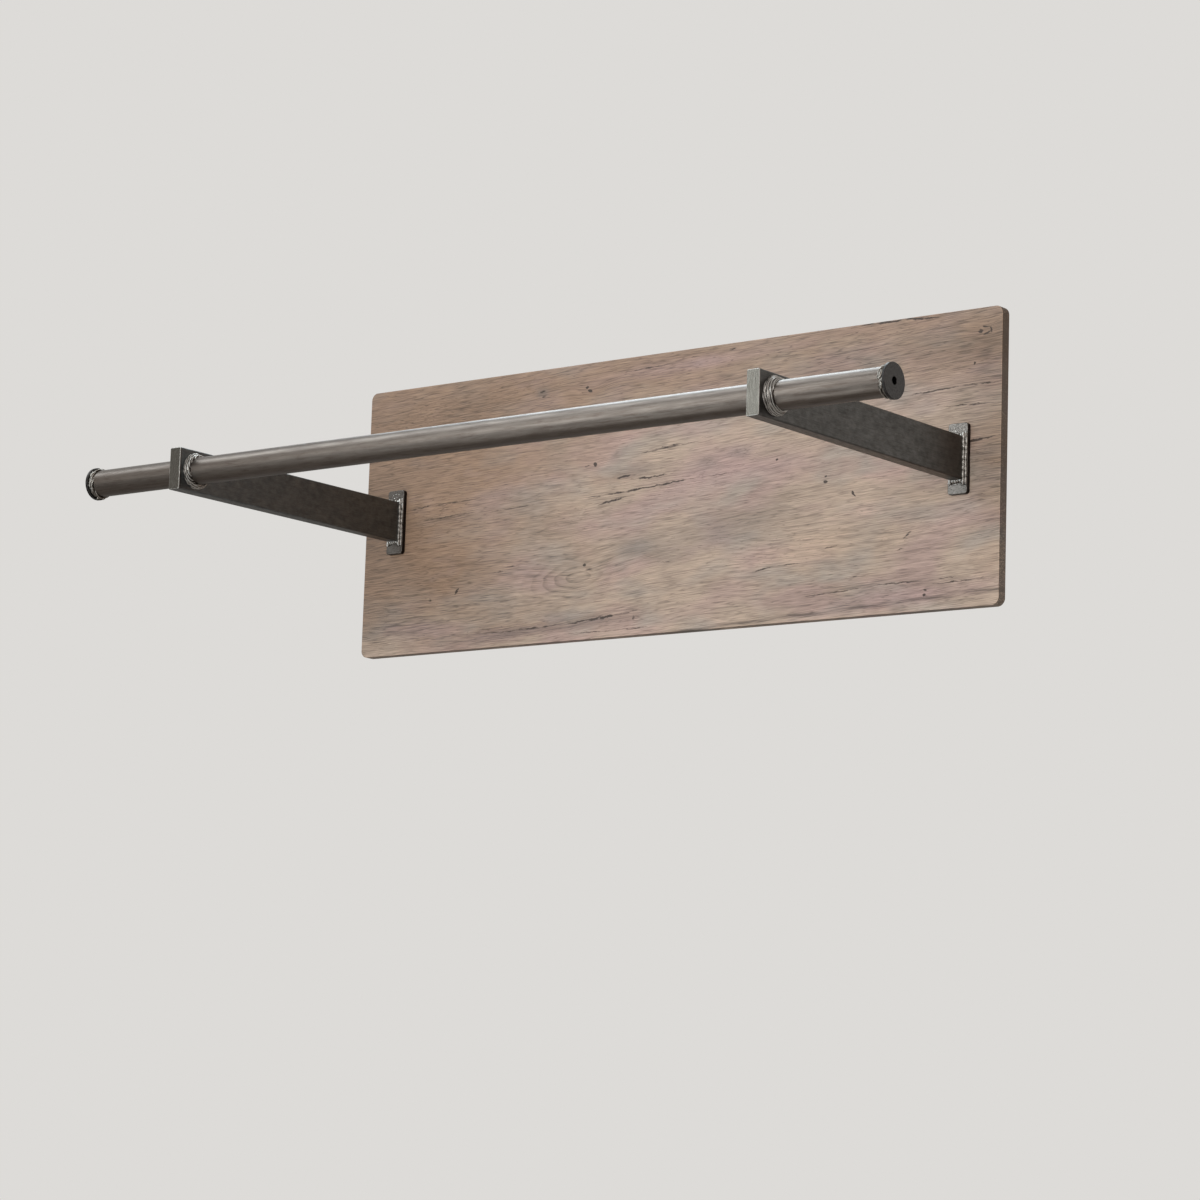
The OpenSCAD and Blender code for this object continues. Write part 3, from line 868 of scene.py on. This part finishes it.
# Nine drops up each tall side, in two rows: how far beside the arm, how far out of the plate, how large
for side in (-1, 1):
    for number in range(9):
        along_z = half_h * (number - 4) / 4
        for beside, out, reach in ((0.0003, 0.0016, 0.0018), (0.0022, 0.0, 0.0015)):
            parts.append(add_drop(
                Matrix.Translation((
                    side * (half_w + beside + uniform(-0.0003, 0.0003)), -out,
                    along_z + uniform(-0.0012, 0.0012),
                )),
                (reach + uniform(-0.0003, 0.0001), reach, uniform(0.0034, 0.0050)),
            ))
    # Six lumps above the arm, and six below it
    for number in range(6):
        along_x = half_w * (number - 2.5) / 2.5
        parts.append(add_drop(
            Matrix.Translation((along_x, 0, side * half_h)),
            (uniform(0.0016, 0.0026), uniform(0.0024, 0.0038), uniform(0.0024, 0.0038)), 2,
        ))
# Spatter
for number in range(12):
    size = uniform(0.0004, 0.0007)
    parts.append(add_drop(
        Matrix.Translation((uniform(-half_w, half_w), 0, half_h + uniform(0.0035, 0.0095))),
        (size, size, size), 2,
    ))
plate_bead = melt(parts)
plate_bead.data.transform(Matrix.Translation((arm_middle.x, arm_high.y, arm_middle.z)))
cut_away(
    plate_bead,
    add_box(
        (arm_middle.x - cutter_reach, arm_high.y, arm_middle.z - cutter_reach),
        (arm_middle.x + cutter_reach, arm_high.y + cutter_depth, arm_middle.z + cutter_reach),
    ),
    add_box(
        (arm_low.x, arm_high.y - cutter_depth, arm_low.z), (arm_high.x, arm_high.y + cutter_depth, arm_high.z)
    ),
)
paint(plate_bead, (weld_metal, None))
left_plate_bead = copy_to(plate_bead, -across)
finish_piece(plate_bead, "right_plate_bead", "right_plate_weld", 60)
finish_piece(left_plate_bead, "left_plate_bead", "left_plate_weld", 60)

# Studs, washers and nuts
# Threaded M6 studs, welded to the backs of the mounting plates, run through the board. A washer and a
# nut, both bright zinc, draw each one tight from the back.

# Bright zinc: pale, a little blue, and shiny
zinc = worked_steel(
    "bright_zinc_plating", "#a9adb3", "#d2d5d9", (1.2, 1.2, 1.2), (2, 2, 2), 0.3, "#8f8a78", 0.3
)
thread_pitch = 0.001
thread_depth = 0.00035


def join_copies(piece, shifts):
    """Joins copies of a piece, one at each shift, into one, and removes the piece."""
    copies = [copy_to(piece, shift) for shift in shifts]
    bpy.data.objects.remove(piece)
    return join(copies)


def draw_out(place, radius, steps):
    """Draws a disc out to the front in steps: how deep each one is, and how much wider it ends."""
    deselect()
    bpy.ops.mesh.primitive_circle_add(
        vertices=32, radius=radius, fill_type="NGON", location=place, rotation=(-pi / 2, 0, 0)
    )
    bpy.ops.object.transform_apply()
    piece = bpy.context.object
    set_mode("EDIT")
    bpy.ops.mesh.select_all(action="SELECT")
    x, y, z = place
    for depth, grow in steps:
        bpy.ops.mesh.extrude_region_move(TRANSFORM_OT_translate={"value": (0, -depth, 0)})
        y -= depth
        bpy.ops.transform.resize(value=(grow, 1, grow), center_override=(x, y, z))
    bpy.ops.mesh.select_all(action="SELECT")
    bpy.ops.mesh.normals_make_consistent(inside=False)
    set_mode("OBJECT")
    return piece


stud_shifts = [Vector((x, 0, z)) for x, z in stud_places]
stud_length = stud_high.y - stud_low.y
turns = int(stud_length / thread_pitch)
wide = stud_radius / (stud_radius - thread_depth)
thread = [(thread_pitch / 2, wide), (thread_pitch / 2, 1 / wide)] * turns
plain_end = [(stud_length - turns * thread_pitch, 1)]
stud = draw_out((0, stud_high.y, 0), stud_radius - thread_depth, thread + plain_end)
studs = join_copies(stud, stud_shifts)
paint(studs, (zinc, None))
finish_piece(studs, "threaded_studs", "plate_studs")

washer_edge = 0.00015
washer_radius = (washer_high.x - washer_low.x - (stud_xs[1] - stud_xs[0])) / 2
washer = add_bar((0, washer_low.y, 0), (0, washer_high.y, 0), washer_radius, 64)
cut_away(washer, add_bar((0, washer_low.y - beyond, 0), (0, beyond, 0), stud_hole_radius, 32))
bevel_sharp(washer, washer_edge, 2)
washers = join_copies(washer, stud_shifts)
paint(washers, (zinc, None))
finish_piece(washers, "round_washers", "stud_washers")

nut_flats = 0.010
nut_bore_radius = 0.0031
nut_chamfer = 0.0006
nut_corner_play = 0.0001
nut_corner_radius = nut_flats / sqrt(3)
nut = add_bar((0, nut_low.y, 0), (0, nut_high.y, 0), nut_corner_radius, 6)
nut.data.transform(Matrix.Rotation(radians(30), 4, "Y"))
chamfer = add_bar((0, nut_low.y, 0), (0, nut_high.y, 0), nut_corner_radius + nut_corner_play, 64)
bevel_sharp(chamfer, nut_chamfer, 1)
apply_modifier(nut, "BOOLEAN", object=chamfer, operation="INTERSECT", solver="EXACT")
bpy.data.objects.remove(chamfer)
cut_away(nut, add_bar((0, nut_low.y - beyond, 0), (0, nut_high.y + beyond, 0), nut_bore_radius, 32))
nuts = join_copies(nut, stud_shifts)
paint(nuts, (zinc, None))
finish_piece(nuts, "hex_nuts", "stud_nuts")

# Keyhole hangers and their screws
# Two zinc-plated steel plates with a keyhole, set into the board's back and each held by two
# countersunk wood screws. The rack hangs by them on two wall screws.

entry_radius = 0.005
slot_radius = 0.0025
screw_head_radius = 0.0029
screw_radius = 0.0015
screw_rim = 0.0003
# The cross in each screw's head: half its length, its depth and half its width
drive_reach = 0.0016
drive_depth = 0.0013
drive_half_width = 0.0004
hanger_edge = 0.0001
screw_play = 0.0001
screw_low, screw_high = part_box("hanger_screws")
hanger_low, hanger_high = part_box("right_keyhole_hanger")
hanger_x, hanger_z = ((hanger_low + hanger_high) / 2).xz
screw_rise = screw_high.z - screw_head_radius - hanger_z
screw_places = [hanger_z - screw_rise, hanger_z + screw_rise]
hanger = add_round_plate(hanger_low, hanger_high, (hanger_high.x - hanger_low.x) / 2 - hanger_end_flat, 16)
under = hanger_low.y - beyond
entry_z = hanger_z - keyhole_reach
slot_z = hanger_z + keyhole_reach
cut_away(
    hanger,
    add_bar((hanger_x, beyond, entry_z), (hanger_x, under, entry_z), entry_radius),
    add_bar((hanger_x, beyond, slot_z), (hanger_x, under, slot_z), slot_radius),
    add_box(
        (hanger_x - slot_radius, under, entry_z), (hanger_x + slot_radius, beyond, slot_z)
    ),
)


def add_screw(x, z, play):
    """Adds a countersunk screw that points to the front, grown all round by play."""
    cone = screw_head_radius - screw_radius
    straight = screw_high.y - screw_low.y - screw_rim - cone - screw_radius
    return draw_out((x, screw_high.y + play, z), screw_head_radius + play, (
        (screw_rim + play, 1),
        (cone, (screw_radius + play) / (screw_head_radius + play)),
        (straight, 1),
        (screw_radius, 0.05),
    ))


for z in screw_places:
    cut_away(hanger, add_screw(hanger_x, z, screw_play))
bevel_sharp(hanger, hanger_edge, 2)
paint(hanger, (zinc, None))
left_hanger = copy_to(hanger, Vector((-2 * hanger_x, 0, 0)))
finish_piece(hanger, "right_hanger_plate", "right_keyhole_hanger")
finish_piece(left_hanger, "left_hanger_plate", "left_keyhole_hanger")

screws = []
for x in (-hanger_x, hanger_x):
    for z in screw_places:
        screw = add_screw(x, z, 0)
        turn = uniform(0, pi / 2)
        for angle in (turn, turn + pi / 2):
            blade = add_box(
                (-drive_reach, -drive_depth, -drive_half_width), (drive_reach, beyond, drive_half_width)
            )
            blade.data.transform(
                Matrix.Translation((x, screw_high.y, z)) @ Matrix.Rotation(angle, 4, "Y")
            )
            cut_away(screw, blade)
        screws.append(screw)
wood_screws = join(screws)
paint(wood_screws, (zinc, None))
finish_piece(wood_screws, "wood_screws", "hanger_screws")

# Studio
# A plain pale floor far below the rack, pale surroundings, and soft lamps. The floor and the
# surroundings hide nothing from behind or below.

floor_z = -1.7
pale = "#dddbd8"

deselect()
bpy.ops.mesh.primitive_plane_add(size=60, location=(0, 0, floor_z))
floor = bpy.context.object
floor.name = "floor"
floor_material, tree, surface = new_material("matt_pale_floor")
surface.inputs["Base Color"].default_value = linear(pale)
surface.inputs["Roughness"].default_value = 0.9
below = add_node(tree, "NewGeometry", output="Backfacing")
see_through = add_node(tree, "BsdfTransparent")
one_sided = add_node(tree, "MixShader", {0: below, 1: surface.outputs["BSDF"], 2: see_through})
tree.links.new(one_sided, tree.nodes["Material Output"].inputs["Surface"])
floor.data.materials.append(floor_material)

world = bpy.data.worlds.new("pale_surroundings")
bpy.context.scene.world = world
world.use_nodes = True
tree = world.node_tree
tree.nodes.clear()
seen = add_node(tree, "LightPath").node.outputs
direct = seen["Is Camera Ray"]
for ray in ("Is Glossy Ray", "Is Transmission Ray"):
    direct = add_node(tree, "Math", {0: direct, 1: seen[ray]}, operation="MAXIMUM")
strength = add_node(tree, "MapRange", {"Value": direct, "To Min": 0.45, "To Max": 1.0})
background = add_node(tree, "Background", {"Color": linear(pale), "Strength": strength})
tree.links.new(background, tree.nodes.new("ShaderNodeOutputWorld").inputs["Surface"])


def add_lamp(name, place, target, width, height, radiance, wood=False, steel=True):
    """Adds a soft rectangular lamp at a place, turned to a target, as bright as its radiance. It lights
    the wood or shows as a reflection in the steel. The ones for the steel are a little cooler."""
    lamp = bpy.data.lights.new(name, "AREA")
    lamp.color = (1, 1, 1) if wood else (0.87, 1.0, 1.08)
    lamp.shape = "RECTANGLE"
    lamp.size = width
    lamp.size_y = height
    lamp.energy = radiance * pi * width * height
    holder = bpy.data.objects.new(name, lamp)
    bpy.context.scene.collection.objects.link(holder)
    holder.location = place
    holder.rotation_euler = (Vector(target) - Vector(place)).to_track_quat("-Z", "Y").to_euler()
    holder.visible_camera = False
    holder.visible_diffuse = wood
    holder.visible_glossy = steel


# Four lamps show in the steel, a fill in front and one behind light the wood, and one more does both
add_lamp("left_softbox", (-1.26, -2.35, 0.75), (0, -0.3, 0.75), 0.6, 2.6, 7.8)
add_lamp("low_softbox", (-0.8, -1.5, -1.1), (0.2, -0.336, 0), 0.8, 1.5, 2.3)
add_lamp("top_softbox", (-1.3, -0.8, 1.65), (0, -0.3, 0), 0.8, 1.5, 6.0)
add_lamp("back_strip", (-0.9, 0.55, 1.6), (0, -0.3, 0), 0.8, 1.1, 5.2)
add_lamp("front_fill", (0.4, -2.8, -0.1), (0, 0, 0), 3.0, 2.2, 2.1, wood=True, steel=False)
add_lamp("right_fill", (1.3, -2.2, 0.3), (0.2, 0, 0), 1.2, 1.2, 3.0, wood=True)
add_lamp("rear_fill", (-0.4, 2.8, 0.3), (0, 0, 0), 3.0, 2.2, 1.8, wood=True, steel=False)

# Camera
# It stands to the right of the rack and lower than the board, and looks up at it through a long lens.

camera_place = (2.2750, -3.0031, -0.7219)
camera_yaw = 0.66661
camera_pitch = 0.15997
camera_roll = 0.03257
camera_lens = 110.82

camera = bpy.data.cameras.new("camera")
camera.sensor_width = 36
camera.lens = camera_lens
camera_holder = bpy.data.objects.new("camera", camera)
bpy.context.scene.collection.objects.link(camera_holder)
camera_holder.matrix_world = (
    Matrix.Translation(camera_place)
    @ Matrix.Rotation(camera_yaw, 4, "Z")
    @ Matrix.Rotation(pi / 2 + camera_pitch, 4, "X")
    @ Matrix.Rotation(camera_roll, 4, "Z")
)
bpy.context.scene.camera = camera_holder
bpy.context.scene.view_settings.view_transform = "Standard"
